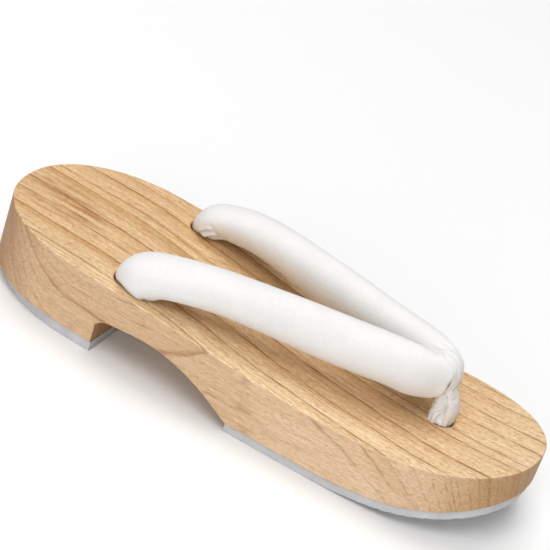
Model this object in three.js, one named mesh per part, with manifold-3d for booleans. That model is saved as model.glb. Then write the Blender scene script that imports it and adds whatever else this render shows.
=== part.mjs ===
// A geta sandal: a one-piece wooden base with rubber pads, padded fabric straps and a toe loop.
// Millimetres. +X points to the toe, +Y to the wearer's left, +Z up, and the floor is the plane Z = 0.

import * as THREE from 'three';
import { mergeVertices } from 'three/addons/utils/BufferGeometryUtils.js';
import Module from 'manifold-3d';

const wasm = await Module();
wasm.setup();

// Plan of the board: bellied sides that run into a rounded toe and a rounded heel
const LENGTH = 240;
const WIDTH = 85;
const WIDEST_X = -17;
const SIDE_RADIUS = 1480;
const TOE_ROUND = 46;
const HEEL_ROUND = 50;
const ROUND_POWER = 2.2;
const OUTLINE_STEPS = 52;
const CURVE_STEPS = 6;

// Side view of the board: its walking surface, the heel's breast, the arch and the rocker under the toe
const WALKING_LINE = [
  { place: 'heel end', x: -122, z: 33.2 },
  { place: 'heel', x: -75, z: 32.6 },
  { place: 'waist', x: -25, z: 30.8 },
  { place: 'ball', x: 25, z: 27.4 },
  { place: 'toe root', x: 58, z: 26.6 },
  { place: 'toe', x: 90, z: 28.9 },
  { place: 'toe end', x: 122, z: 34.2 },
];
const BREAST_X = -54;
const BREAST_TOP = 13.2;
const ARCH_LINE = [
  { place: 'root of the breast', x: -52.6, z: 15.2 },
  { place: 'behind the arch', x: -48, z: 16.7 },
  { place: 'top of the arch', x: -33, z: 18.2 },
  { place: 'before the arch', x: -20, z: 17.0 },
  { place: 'slope', x: -6, z: 12.6 },
  { place: 'foot of the slope', x: 10, z: 4.1 },
];
const ROCKER_X = 45;
const ROCKER_RADIUS = 185;

// Rubber pads, and the gap that is left between neighbouring pieces
const GAP = 0.3;
const HEEL_PAD_THICK = 4.5;
const FOREFOOT_PAD_THICK = 3.8;
const HEEL_PAD_INSET = { side: 1.0, toe: 0, heel: 3.5 };
const FOREFOOT_PAD_INSET = { side: 1.0, toe: 1.0, heel: 0 };
const FOREFOOT_PAD_BACK = 10;

// Holes in the board: the rear pair slants forward on its way down
const REAR_HOLE = { x: -51.2, y: 30.0, z: 32, radius: 5.7, slant: 12 };
const TOE_HOLE = { x: 78.3, radius: 5.0 };
const HOLE_REACH = 25;
const HOLE_FACETS = 28;

// One strap arm from its tail in the rear hole to the joint at the toe. A row is one section: its centre,
// its half sizes, the pitch of the strap there and how far the section leans inwards, in degrees.
const ARM_SECTIONS = [
  { x: -47.9, y: 30.0, z: 16.0, wide: 4.4, high: 4.4, pitch: 102, lean: 0 },
  { x: -50.7, y: 30.0, z: 29.0, wide: 4.4, high: 4.4, pitch: 102, lean: 0 },
  { x: -51.3, y: 30.0, z: 32.6, wide: 5.0, high: 4.8, pitch: 94, lean: 0 },
  { x: -49.5, y: 30.3, z: 35.2, wide: 8.0, high: 6.0, pitch: 66, lean: 0 },
  { x: -45.6, y: 30.6, z: 37.9, wide: 9.7, high: 7.4, pitch: 38, lean: -6 },
  { x: -39.0, y: 30.3, z: 40.3, wide: 10.1, high: 7.9, pitch: 19, lean: -12 },
  { x: -29.0, y: 28.7, z: 43.1, wide: 10.0, high: 8.1, pitch: 10, lean: -13 },
  { x: -12.0, y: 24.6, z: 45.2, wide: 9.5, high: 8.6, pitch: 4, lean: -6 },
  { x: 12.0, y: 18.9, z: 45.5, wide: 8.7, high: 9.6, pitch: 1, lean: 6 },
  { x: 36.0, y: 13.8, z: 45.7, wide: 8.4, high: 10.0, pitch: 1, lean: 13 },
  { x: 54.0, y: 10.1, z: 46.3, wide: 8.0, high: 9.9, pitch: 2, lean: 10 },
  { x: 63.5, y: 7.8, z: 46.1, wide: 7.7, high: 10.2, pitch: 1, lean: 4 },
  { x: 69.8, y: 6.0, z: 46.1, wide: 6.2, high: 9.5, pitch: 0, lean: 0 },
  { x: 73.6, y: 4.8, z: 46.4, wide: 4.6, high: 7.9, pitch: 0, lean: 0 },
  { x: 76.0, y: 4.2, z: 46.9, wide: 3.1, high: 5.4, pitch: 0, lean: 0 },
  { x: 77.0, y: 4.0, z: 47.0, wide: 1.6, high: 2.8, pitch: 0, lean: 0 },
];
const ARM_STATIONS = 44;
const ARM_FACETS = 22;

// Toe loop: a ring in the middle plane that closes around the joint, narrow behind and broad in front
const RING = { x: 70.4, z: 46.6, long: 7.6, tall: 7.8, thick: 1.7, broadFront: 4.8, broadBack: 1.8 };
const RING_FACETS = 14;
const RING_STATIONS = 44;
// and a post that goes down from it into the front hole, with gathers at the hole's mouth
const POST_SECTIONS = [
  { x: 78.3, y: 0, z: 15.0, wide: 4.1, high: 4.1, pitch: 90, lean: 0 },
  { x: 78.4, y: 0, z: 26.8, wide: 4.2, high: 4.2, pitch: 90, lean: 0 },
  { x: 78.6, y: 0, z: 30.0, wide: 5.2, high: 5.0, pitch: 91, lean: 0 },
  { x: 78.6, y: 0, z: 33.6, wide: 5.2, high: 4.9, pitch: 92, lean: 0 },
  { x: 78.0, y: 0, z: 38.0, wide: 4.8, high: 4.2, pitch: 96, lean: 0 },
  { x: 77.6, y: 0, z: 43.0, wide: 4.8, high: 2.4, pitch: 92, lean: 0 },
];
const POST_STATIONS = 18;
const POST_FACETS = 20;

const FIRST_ANGLE = -Math.PI / 2;
const radians = THREE.MathUtils.degToRad;

// Half the width of the board, or of a pad set in from its edge, at a place along its length
function halfWidth(x, inset) {
  const belly = WIDTH / 2 - inset.side - (x - WIDEST_X) ** 2 / (2 * SIDE_RADIUS);
  const intoToe = (x - (LENGTH / 2 - inset.toe - TOE_ROUND)) / TOE_ROUND;
  const intoHeel = (HEEL_ROUND + inset.heel - LENGTH / 2 - x) / HEEL_ROUND;
  const intoEnd = THREE.MathUtils.clamp(Math.max(intoToe, intoHeel), 0, 1);
  return belly * (1 - intoEnd ** ROUND_POWER) ** (1 / ROUND_POWER);
}

// The closed plan outline, from the toe along the left side to the heel and back along the right
function planShape(inset) {
  const toeEnd = LENGTH / 2 - inset.toe;
  const heelEnd = inset.heel - LENGTH / 2;
  const middle = (toeEnd + heelEnd) / 2;
  const reach = (toeEnd - heelEnd) / 2;
  const points = [];
  for (let step = 0; step < 2 * OUTLINE_STEPS; step += 1) {
    const angle = (Math.PI * step) / OUTLINE_STEPS;
    const x = middle + reach * Math.cos(angle);
    const sign = step <= OUTLINE_STEPS ? 1 : -1;
    points.push(new THREE.Vector2(x, sign * halfWidth(x, inset)));
  }
  return new THREE.Shape(points);
}

// A three.js geometry as a solid for cutting and joining
function toSolid(geometry) {
  geometry.deleteAttribute('normal');
  geometry.deleteAttribute('uv');
  const merged = mergeVertices(geometry);
  return new wasm.Manifold(new wasm.Mesh({
    numProp: 3,
    vertProperties: Float32Array.from(merged.attributes.position.array),
    triVerts: Uint32Array.from(merged.index.array),
  }));
}

function toMesh(name, solid, material) {
  const { vertProperties, triVerts } = solid.getMesh();
  const geometry = new THREE.BufferGeometry();
  geometry.setAttribute('position', new THREE.BufferAttribute(vertProperties, 3));
  geometry.setIndex(new THREE.BufferAttribute(triVerts, 1));
  geometry.computeVertexNormals();
  const mesh = new THREE.Mesh(geometry, material);
  mesh.name = name;
  return mesh;
}

// An upright prism on a plan outline, taller than any part of the board
function planPrism(inset) {
  return toSolid(new THREE.ExtrudeGeometry(planShape(inset), { depth: LENGTH, bevelEnabled: false }));
}

// A side view, drawn in X and Z, pushed right across the width
function sidePrism(shape) {
  const across = 2 * WIDTH;
  const settings = { depth: across, bevelEnabled: false, curveSegments: CURVE_STEPS };
  const geometry = new THREE.ExtrudeGeometry(shape, settings);
  geometry.rotateX(Math.PI / 2);
  geometry.translate(0, across / 2, 0);
  return toSolid(geometry);
}

function toPoints(rows) {
  return rows.map((row) => new THREE.Vector2(row.x, row.z));
}

// The angle at which an arc of the rocker has run out past the toe
function rockerEnd(radius) {
  return FIRST_ANGLE + Math.asin((WALKING_LINE.at(-1).x - ROCKER_X) / radius);
}

function boardSide() {
  const heelSeat = HEEL_PAD_THICK + GAP;
  const forefootSeat = FOREFOOT_PAD_THICK + GAP;
  const rocker = ROCKER_RADIUS - forefootSeat;
  const walking = toPoints(WALKING_LINE).reverse();
  const shape = new THREE.Shape();
  shape.moveTo(WALKING_LINE[0].x, heelSeat);
  shape.lineTo(BREAST_X, heelSeat);
  shape.lineTo(BREAST_X, BREAST_TOP);
  shape.splineThru(toPoints(ARCH_LINE));
  shape.lineTo(ROCKER_X, forefootSeat);
  shape.absarc(ROCKER_X, ROCKER_RADIUS, rocker, FIRST_ANGLE, rockerEnd(rocker), false);
  shape.lineTo(walking[0].x, walking[0].y);
  shape.splineThru(walking.slice(1));
  return shape;
}

function forefootPadSide() {
  const upper = ROCKER_RADIUS - FOREFOOT_PAD_THICK;
  const shape = new THREE.Shape();
  shape.moveTo(FOREFOOT_PAD_BACK, 0);
  shape.lineTo(ROCKER_X, 0);
  shape.absarc(ROCKER_X, ROCKER_RADIUS, ROCKER_RADIUS, FIRST_ANGLE, rockerEnd(ROCKER_RADIUS), false);
  shape.absarc(ROCKER_X, ROCKER_RADIUS, upper, rockerEnd(upper), FIRST_ANGLE, true);
  shape.lineTo(FOREFOOT_PAD_BACK, FOREFOOT_PAD_THICK);
  return shape;
}

function heelPadSide() {
  const shape = new THREE.Shape();
  shape.moveTo(-LENGTH / 2, 0);
  shape.lineTo(BREAST_X, 0);
  shape.lineTo(BREAST_X, HEEL_PAD_THICK);
  shape.lineTo(-LENGTH / 2, HEEL_PAD_THICK);
  return shape;
}

// A round drill along Z, turned about Y by a slant in degrees
function drill({ x, y, z, radius, slant }) {
  const geometry = new THREE.CylinderGeometry(radius, radius, 2 * HOLE_REACH, HOLE_FACETS);
  geometry.rotateX(Math.PI / 2);
  geometry.rotateY(radians(-slant));
  geometry.translate(x, y, z);
  return toSolid(geometry);
}

function makeBoard() {
  const toeHole = { x: TOE_HOLE.x, y: 0, z: HOLE_REACH, radius: TOE_HOLE.radius, slant: 0 };
  return planPrism({ side: 0, toe: 0, heel: 0 })
    .intersect(sidePrism(boardSide()))
    .subtract(drill(REAR_HOLE))
    .subtract(drill({ ...REAR_HOLE, y: -REAR_HOLE.y }))
    .subtract(drill(toeHole));
}

// A padded tube through a table of sections: a sphere's rings are moved onto the sections, with a pole
// in the middle of each end
function sweep(rows, stations, facets, side) {
  const columns = ['x', 'y', 'z', 'wide', 'high', 'pitch', 'lean'];
  const positions = rows.map((row, index) => index);
  const values = rows.flatMap((row) => columns.map((column) => row[column]));
  const table = new THREE.CubicInterpolant(positions, values, columns.length);
  const rings = stations + 1;
  const geometry = new THREE.SphereGeometry(1, facets, rings);
  const position = geometry.attributes.position;
  for (let index = 0; index < position.count; index += 1) {
    const ring = Math.floor(index / (facets + 1));
    const turn = (2 * Math.PI * (index % (facets + 1))) / facets;
    const station = THREE.MathUtils.clamp(ring - 1, 0, stations - 1) / (stations - 1);
    const [x, y, z, wide, high, pitch, lean] = table.evaluate(station * (rows.length - 1));
    const atPole = ring === 0 || ring === rings;
    const across = atPole ? 0 : wide * Math.cos(turn);
    const above = atPole ? 0 : high * Math.sin(turn);
    const tilt = radians(lean);
    const outward = across * Math.cos(tilt) - above * Math.sin(tilt);
    const upward = across * Math.sin(tilt) + above * Math.cos(tilt);
    const rise = radians(pitch);
    position.setXYZ(index, x - upward * Math.sin(rise), side * (y + outward), z + upward * Math.cos(rise));
  }
  if (side > 0) {
    geometry.index.array.reverse();
  }
  return toSolid(geometry);
}

// The ring of the toe loop; extra widens it all round, for the groove that it presses into the straps
function makeRing(extra) {
  const geometry = new THREE.TorusGeometry(1, 1, RING_FACETS, RING_STATIONS);
  const position = geometry.attributes.position;
  const stride = RING_STATIONS + 1;
  for (let index = 0; index < position.count; index += 1) {
    const around = (2 * Math.PI * Math.floor(index / stride)) / RING_FACETS;
    const along = (2 * Math.PI * (index % stride)) / RING_STATIONS;
    const forward = (1 + Math.cos(along)) / 2;
    const broad = THREE.MathUtils.lerp(RING.broadBack, RING.broadFront, forward) + extra;
    const out = (RING.thick + extra) * Math.cos(around);
    const x = RING.x + (RING.long + out) * Math.cos(along);
    const z = RING.z + (RING.tall + out) * Math.sin(along);
    position.setXYZ(index, x, -broad * Math.sin(around), z);
  }
  return toSolid(geometry);
}

function widened(rows) {
  return rows.map((row) => ({ ...row, wide: row.wide + GAP, high: row.high + GAP }));
}

// The two arms, joined at the toe, with the groove that the toe loop presses into them
function makeStraps() {
  const groove = makeRing(GAP).add(sweep(widened(POST_SECTIONS), POST_STATIONS, POST_FACETS, 1));
  return sweep(ARM_SECTIONS, ARM_STATIONS, ARM_FACETS, 1)
    .add(sweep(ARM_SECTIONS, ARM_STATIONS, ARM_FACETS, -1))
    .subtract(groove);
}

function makeToeLoop() {
  return makeRing(0).add(sweep(POST_SECTIONS, POST_STATIONS, POST_FACETS, 1));
}

const wood = new THREE.MeshStandardMaterial({ color: 0xe2be91, roughness: 0.6, metalness: 0 });
const heelRubber = new THREE.MeshStandardMaterial({ color: 0xbebec0, roughness: 0.8, metalness: 0 });
const forefootRubber = new THREE.MeshStandardMaterial({ color: 0xbebec0, roughness: 0.8, metalness: 0 });
const strapFabric = new THREE.MeshStandardMaterial({ color: 0xf0eeec, roughness: 0.9, metalness: 0 });
const loopFabric = new THREE.MeshStandardMaterial({ color: 0xf0eeec, roughness: 0.9, metalness: 0 });

const heelPad = planPrism(HEEL_PAD_INSET).intersect(sidePrism(heelPadSide()));
const forefootPad = planPrism(FOREFOOT_PAD_INSET).intersect(sidePrism(forefootPadSide()));

const sandal = new THREE.Group();
sandal.add(toMesh('base_board', makeBoard(), wood));
sandal.add(toMesh('heel_pad', heelPad, heelRubber));
sandal.add(toMesh('forefoot_pad', forefootPad, forefootRubber));
sandal.add(toMesh('strap_upper', makeStraps(), strapFabric));
sandal.add(toMesh('toe_loop', makeToeLoop(), loopFabric));

export default sandal;
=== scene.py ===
"""The looks of a geta sandal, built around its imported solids.

Sizes below are millimetres in the part's own frame: +X to the toe, +Y to the wearer's left, +Z up.
"""

import math

import bmesh
import bpy
import numpy as np
from mathutils import Matrix, Vector


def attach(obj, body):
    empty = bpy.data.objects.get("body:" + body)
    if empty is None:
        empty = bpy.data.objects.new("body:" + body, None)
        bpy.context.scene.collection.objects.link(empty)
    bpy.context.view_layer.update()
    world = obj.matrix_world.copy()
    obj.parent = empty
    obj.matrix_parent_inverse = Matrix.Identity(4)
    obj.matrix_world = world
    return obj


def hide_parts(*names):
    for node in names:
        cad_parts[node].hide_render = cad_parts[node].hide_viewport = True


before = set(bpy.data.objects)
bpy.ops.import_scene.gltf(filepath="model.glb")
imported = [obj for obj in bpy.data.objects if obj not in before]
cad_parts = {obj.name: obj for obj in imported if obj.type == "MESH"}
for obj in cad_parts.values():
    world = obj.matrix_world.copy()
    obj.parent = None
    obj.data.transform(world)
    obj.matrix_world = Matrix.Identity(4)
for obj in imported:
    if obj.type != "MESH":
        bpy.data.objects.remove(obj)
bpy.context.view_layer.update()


def linear(red, green, blue):
    """A colour as seen on a screen, as light."""
    return tuple(((c / 255 + 0.055) / 1.055) ** 2.4 for c in (red, green, blue))


MM = 0.001
# Points closer together than this become one point
WELD_GAP = 0.002
# A point no further off than this lies in the middle plane
ON_AXIS = 1e-6
# Keeps a division away from zero
NEARLY_ZERO = 1e-9

# Plan of the board
LENGTH, WIDTH = 240.0, 85.0
WIDEST_X, SIDE_RADIUS = -17.0, 1480.0
TOE_ROUND, HEEL_ROUND, ROUND_POWER = 46.0, 50.0, 2.2

# Side view of the board, with its lines as x and z
WALKING_LINE = ((-122, 33.2), (-75, 32.6), (-25, 30.8), (25, 27.4), (58, 26.6), (90, 28.9), (122, 34.2))
BREAST_X, BREAST_TOP = -54.0, 13.2
ARCH_LINE = ((-52.6, 15.2), (-48, 16.7), (-33, 18.2), (-20, 17.0), (-6, 12.6), (10, 4.1))
ROCKER_X, ROCKER_RADIUS = 45.0, 185.0
# Rounded edges. The lower one grows from nothing over a run from the breast
TOP_ARRIS, LOW_ARRIS, LOW_ARRIS_RUN = 0.8, 0.5, 6.0

# Rubber pads
GAP = 0.3
HEEL_PAD_THICK, FOREFOOT_PAD_THICK = 4.5, 3.8
HEEL_PAD_INSET = {"side": 1.0, "toe": 0.0, "heel": 3.5}
FOREFOOT_PAD_INSET = {"side": 1.0, "toe": 1.0, "heel": 0.0}
FOREFOOT_PAD_BACK = 10.0
PAD_ARRIS = 0.35

# Tread: wavy grooves, and half their width at the bottom and at the sole
TREAD_PITCH, TREAD_DEPTH, TREAD_WAVE, TREAD_WAVELENGTH = 4.8, 0.8, 1.3, 15.0
TREAD_GROOVE = 0.35, 0.75
# Where the grooves fade in from the board's rim and from a pad's straight end
TREAD_RIM_FADE, TREAD_END_FADE = (2.2, 4.0), (0.6, 2.0)
# Where they open out to the rim near the toe, and how deep they are there and how unevenly worn
TREAD_OPENS, TREAD_OPEN_DEPTH, TREAD_WEAR = (62.0, 76.0), 0.35, 0.2
WEAR_ALONG, WEAR_ACROSS = 0.83, 0.31

# Holes: the rear pair slants forward on its way down
REAR_HOLE = {"x": -51.2, "y": 30.0, "z": 32.0, "radius": 5.7, "slant": 12.0}
TOE_HOLE = {"x": 78.3, "y": 0.0, "z": 27.7, "radius": 5.0, "slant": 0.0}
# Height over the walking surface at a hole, and how much wider the cutter is there
RIM_PROFILE = ((-25, 0.0), (-1.1, 0.0), (-0.5, 0.12), (0.0, 0.45), (0.4, 0.95), (4.0, 4.5))

# Sections of one strap arm: centre x, y, z, half width, half height, pitch and lean in degrees
ARM_SECTIONS = (
    (-47.9, 30.0, 16.0, 4.4, 4.4, 102, 0),
    (-50.7, 30.0, 29.0, 4.4, 4.4, 102, 0),
    (-51.3, 30.0, 32.6, 5.0, 4.8, 94, 0),
    (-49.5, 30.3, 35.2, 8.0, 6.0, 66, 0),
    (-45.6, 30.6, 37.9, 9.7, 7.4, 38, -6),
    (-39.0, 30.3, 40.3, 10.1, 7.9, 19, -12),
    (-29.0, 28.7, 43.1, 10.0, 8.1, 10, -13),
    (-12.0, 24.6, 45.2, 9.5, 8.6, 4, -6),
    (12.0, 18.9, 45.5, 8.7, 9.6, 1, 6),
    (36.0, 13.8, 45.7, 8.4, 10.0, 1, 13),
    (54.0, 10.1, 46.3, 8.0, 9.9, 2, 10),
    (63.5, 7.8, 46.1, 7.7, 10.2, 1, 4),
    (69.8, 6.0, 46.1, 6.2, 9.5, 0, 0),
    (73.6, 4.8, 46.4, 4.6, 7.9, 0, 0),
    (76.0, 4.2, 46.9, 3.1, 5.4, 0, 0),
    (77.0, 4.0, 47.0, 1.6, 2.8, 0, 0),
)
# The section at the hole's mouth, where the joint begins among the sections, and the girth of an arm
MOUTH_ROW, JOINT_ROW, ARM_GIRTH = 2, 10.5, 57.0
# The arms press against each other at the middle plane and rest on the board beyond a hole's rim
ARM_APART, ARM_SOFTNESS = 0.12, 0.45
ARM_OVER_BOARD, ARM_RIM = 0.15, 0.8

# A place on an arm is given as millimetres run from the hole's mouth and degrees round the tube
# Degrees go from the outer side over the top, which is at 90, to the inner side
# Creases: from, to, half width and depth
NEAR_CREASES = (
    ((1.0, 318), (10.5, 306), 1.1, 0.75),
    ((2.0, 294), (13.0, 284), 1.2, 0.8),
    ((2.0, 262), (11.0, 252), 1.1, 0.6),
    ((1.5, 226), (9.0, 214), 1.0, 0.5),
    ((11.0, 330), (13.5, 290), 0.9, 0.45),
)
FAR_CREASES = (
    ((1.0, 186), (9.0, 196), 0.8, 1.0),
    ((2.0, 214), (12.0, 226), 0.9, 1.1),
    ((2.0, 244), (13.5, 254), 1.0, 0.8),
    ((2.0, 278), (11.0, 284), 1.0, 0.5),
    ((9.5, 176), (12.0, 222), 0.9, 0.5),
    ((121.0, 66), (132.0, 74), 0.7, 0.3),
    ((122.5, 84), (132.0, 88), 0.6, 0.32),
    ((121.5, 101), (132.0, 102), 0.7, 0.34),
    ((122.5, 118), (132.0, 115), 0.6, 0.32),
    ((121.5, 136), (131.0, 129), 0.7, 0.28),
)
# A ridge beside a crease: distance and half width in half widths of the crease, and height as a share
RIDGE_AWAY, RIDGE_HALF, RIDGE_HEIGHT = 2.1, 1.1, 0.4
# How a crease dies away towards its two ends
CREASE_END, CREASE_FADE = 0.12, 0.7
# Lumps of the arms' tails: run, degrees, reach along and round, height
NEAR_LUMPS = (
    (4.0, 318, 4.5, 6.0, 1.6),
    (9.8, 314, 3.6, 4.6, 1.6),
    (15.5, 312, 2.8, 3.2, 0.9),
    (4.0, 230, 4.0, 6.0, 2.0),
    (11.0, 118, 9.0, 10.0, 0.8),
)
FAR_LUMPS = (
    (3.2, 205, 2.4, 4.5, 0.8),
    (3.5, 240, 2.8, 5.0, 0.5),
    (12.0, 236, 5.0, 7.0, -1.1),
    (4.0, 318, 4.5, 6.0, 2.6),
    (5.0, 105, 5.0, 9.0, 0.4),
)
# Slight unevenness of the stuffing: height, run per radian along the arm, and skew round it
RIPPLE, RIPPLE_RUN, RIPPLE_SPIRAL, RIPPLE_SKEW = 0.13, 8.3, 31.0, 1.7
SWELL, SWELL_RUN, SWELL_SKEW = 0.16, 19.0, 1.1
# The seam below: where it lies round the tube, half its width, its depth and where it fades in
SEAM_DEGREES, SEAM_HALF, SEAM_DEPTH, SEAM_FROM = 268, 0.55, 0.35, (6.0, 14.0)
# Near the mouth the relief above goes inward only, and inside the hole there is less of it
INWARD_BEFORE, OUTWARD_FADE = 3.0, (0.0, 6.0)
HOLE_BEFORE, HOLE_SHARE = -1.0, 0.3
# An arm fills the hole's mouth all round except at its rear
MOUTH_FILL, MOUTH_FILL_AT, MOUTH_FILL_REACH = 0.75, 0.8, 2.5
MOUTH_REAR, MOUTH_REAR_REACH = 95, 55

# Toe loop: an oval band round the joint in the middle plane, squarer at its upper front
RING_X, RING_Z, RING_LONG, RING_TALL, RING_THICK = 70.4, 46.6, 7.6, 7.8, 1.7
RING_BROAD_FRONT, RING_BROAD_BACK = 4.8, 0.9
RING_SQUARE, RING_THINNER, RING_LENS, RING_SAG = 2.1, 0.9, 1.4, 2.4
# Where round the oval each of these sets in, by how far the direction points ahead, behind or upward
BROAD_AHEAD, THINNER_UPWARD, SQUARE_CORNER = (-0.45, 0.35), (0.0, 0.7), (0.0, 0.5)
SAG_BEHIND, SAG_UPWARD = (-0.15, 0.55), (0.0, 0.5)

# Fit of the arms to the band: clearance under it, and the slit that opens under its front but not on top
BAND_CLEAR, BAND_SLIT, SLIT_DOWNWARD, SLIT_AHEAD = 0.15, 1.5, (-0.7, -0.05), (0.0, 0.4)
# How fast an arm may rise beside the band, and where and how near it swells there
ARM_FLARE, SWELL_BESIDE, SWELL_AHEAD, SWELL_OUTSIDE = 1.5, 2.4, (-0.55, -0.05), (0.55, 0.9)
# How far out the left and the right arm swell, as a share of the band's reach
BAND_SWELL = {1: 1.08, -1: 1.24}
# Behind the joint the arms move aside for the band
ASIDE_BEHIND, ASIDE_CLEAR = (0.3, 0.75), 0.2

# The post that goes down into the front hole has two legs, a slim one in front and a bulb behind it
FRONT_LEG = (
    (80.2, 0, 15.0, 3.6, 2.2, 90, 0),
    (80.2, 0, 25.4, 3.9, 2.3, 90, 0),
    (80.2, 0, 27.6, 5.0, 2.6, 90, 0),
    (80.8, 0, 29.6, 5.2, 2.5, 91, 0),
    (81.2, 0, 33.6, 4.9, 2.4, 94, 0),
    (79.6, 0, 38.2, 4.7, 2.3, 104, 0),
    (77.9, 0, 41.6, 4.5, 1.9, 112, 0),
    (75.6, 0, 45.0, 3.8, 1.4, 124, 0),
)
REAR_LEG = (
    (76.6, 0, 15.0, 3.6, 2.4, 90, 0),
    (76.7, 0, 25.4, 4.1, 2.8, 90, 0),
    (76.8, 0, 27.5, 5.6, 3.4, 90, 0),
    (76.9, 0, 29.2, 5.8, 3.3, 90, 0),
    (76.6, 0, 31.6, 5.3, 3.3, 90, 0),
    (76.5, 0, 34.0, 4.9, 3.2, 90, 0),
    (76.3, 0, 36.2, 4.6, 2.8, 90, 0),
    (75.8, 0, 38.5, 4.4, 2.5, 90, 0),
    (75.6, 0, 43.0, 4.4, 2.4, 90, 0),
)
# The groove between the legs as x and z on both sides, half its width, its depth, and where it fades in
LEG_GROOVE = ((77.2, 41.4), (78.5, 38.9), (79.9, 36.9), (79.7, 34.0), (79.7, 29.7))
GROOVE_HALF, GROOVE_DEPTH, GROOVE_OFF = 0.42, 1.3, (1.2, 2.6)
# Gathers round the post at the hole's mouth: their number, depth and heights of fading
POST_X, GATHERS, GATHER_START, GATHER_DEPTH = 78.7, 13, 0.6, 0.3
GATHER_FOOT, GATHER_TOP = (25.5, 27.5), (28.5, 33.5)
# Wrinkles that fan out over the bulb
WRINKLE_X, WRINKLE_Z, WRINKLES, WRINKLE_DEPTH, WRINKLE_WANDER = 79.6, 35.5, 15, 0.13, 0.8
WRINKLE_BEHIND, POST_TOP = (79.5, 78.0), (38.5, 40.5)
# A pinch below the band, and the crinkles of the band
PINCH_Z, PINCH_HALF, PINCH_DEPTH, PINCH_FRONT = 40.0, 0.8, 0.3, (74.5, 77.0)
PINCH_WAVE, PINCH_WAVE_RUN = 0.5, 1.7
CRINKLE_DEPTH, CRINKLE_FROM, CRINKLE_TURN = 0.17, (40.5, 42.5), 1.9
CRINKLE_WANDER, CRINKLE_WANDER_RUN, CRINKLE_UP, CRINKLE_ASIDE = 0.5, 1.5, 2.1, 4.0
# The loop rests on the board round the hole's rim
LOOP_OVER_BOARD, LOOP_RIM, LOOP_SEATED_FROM = 0.1, 0.2, 25.5

# How fine the meshes are
LINE_STEPS, PATH_STEPS = 900, 4000
BOARD_STEPS, BOARD_COLUMNS, BREAST_ROOT_STEPS = 210, 34, 9
TOP_ARRIS_STEPS, WALL_STEPS, BREAST_STEPS, LOW_ARRIS_STEPS = 6, 10, 5, 4
HEEL_PAD_STEPS, FOREFOOT_PAD_STEPS, PAD_COLUMNS = 190, 300, 72
PAD_ARRIS_STEPS, PAD_WALL_STEPS = 4, 4
HOLE_FACETS = 72
ARM_STEP, ARM_FACETS = 0.5, 120
BAND_STEPS, BAND_FACETS = 180, 56
LEG_STEP, LEG_FACETS = 0.4, 72
LOOP_VOXEL, LOOP_RELAX, LOOP_RELAX_TIMES = 0.26, 0.5, 4
# Edges that turn by more degrees than this stay sharp
WOOD_SHARP, RUBBER_SHARP = 38, 50

# Colours and tints of the wood
WOOD_PALE, WOOD_LIGHT = linear(221, 186, 141), linear(232, 204, 165)
WOOD_WARM, WOOD_BROWN, WOOD_DEEP = linear(198, 152, 101), linear(170, 120, 72), linear(142, 90, 46)
# The sides are bluer than the top in front and duller behind the waist: partly their sawn finish, partly
# painted light and shade
FORE_SIDE_TONE_AND_LIGHT, REAR_SIDE_TONE_AND_SHADE, SIDE_CHANGE = (0.97, 1.01, 1.17), (0.92, 0.925, 1.04), (40, -10)
# Faces that look forward or back, the toe and heel ends and the breast, are darker: painted shade, partly
# the end grain's own darker tone
TOE_END_GRAIN_AND_SHADE, HEEL_END_GRAIN_AND_SHADE, END_CHANGE = (0.71, 0.63, 0.55), (0.6, 0.49, 0.42), (-20, -50)
NO_TINT = (1.0, 1.0, 1.0)
# How steeply a face has to look up to count as the top, and forward or back to count as an end
TOP_FACING, END_FACING = (0.45, 0.85), (0.15, 0.85)

# Growth rings: where they cross the walking surface at the heel, from right to left
RING_LINES = (-62, -54, -44, -35.5, -24.7, -15, -4, 8.8, 13.5, 24.5, 33, 44, 52, 60)
# Further forward they bend to the right
BEND_FROM, BEND_SLOPE, BEND_CURVE = -70.0, 0.09, 0.00012
# How they lean with height, by the place along the board
LEAN_MIDDLE, LEAN_ALONG, LEAN_AHEAD, LEAN_MOST, LEAN_Z = -0.16, 0.0042, 0.0045, 0.34, 30.0
# How far they stray, and over what lengths in x, y and z
SWAY, SWAY_SIZES, RAGGED, RAGGED_SIZES, RAGGED_SIDES = 6.0, (95, 38, 38), 1.4, (22, 5, 5), 0.4
# How dark a ring is from one line to the next, the least share of that, and the share on the sides
RING_BODY = ((0.0, 0.3), (0.08, 0.1), (0.45, 0.12), (0.8, 0.45), (1.0, 0.85))
BODY_LEAST, BODY_SIDES = 0.45, 0.4
# The line that ends a ring, on the top and thinner on the sides, and how it breaks up
TOP_LINE = ((0.0, 1.0), (0.02, 0.9), (0.055, 0.0), (0.955, 0.0), (0.985, 0.9))
SIDE_LINE = ((0.0, 1.0), (0.01, 0.7), (0.022, 0.0), (0.975, 0.0), (0.99, 0.7))
LINE_BREAKS, LINE_BREAK_SIZES, LINE_SIDES = ((0.32, 0.12), (0.6, 1.0)), (16, 2, 2), 0.6
# Fainter lines between the rings
FAINT_PER_RING = 3.7
FAINT_LINE = ((0.0, 0.7), (0.12, 0.0), (0.9, 0.0), (1.0, 0.6))
FAINT_SPREAD, FAINT_SIZES = ((0.38, 0.1), (0.6, 1.0)), (38, 3, 3)
# The top is paler towards the toe and along its right edge
PALE_TOE, PALE_TOE_SHARE, PALE_RIGHT, PALE_SHARE = (55, 110), 0.8, (-24, -37), 0.6
# Brown flame at the heel
FLAME_X, FLAME_Y, FLAME_LONG, FLAME_BROAD, FLAME_FADE = -98, -6, 24, 14, (1.2, 0.1)
FLAME_SHARE, FLAME_STREAKS, FLAME_SIZES = 0.8, (0.4, 0.66), (30, 2.4, 2.4)
# Fibres: how long and how broad they are, and how much they lighten and darken
WOOD_FIBRES = ((160, 14, 0.3), (80, 3.0, 0.32), (34, 1.0, 0.42), (9, 0.5, 0.85), (2.0, 0.5, 0.95))
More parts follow.
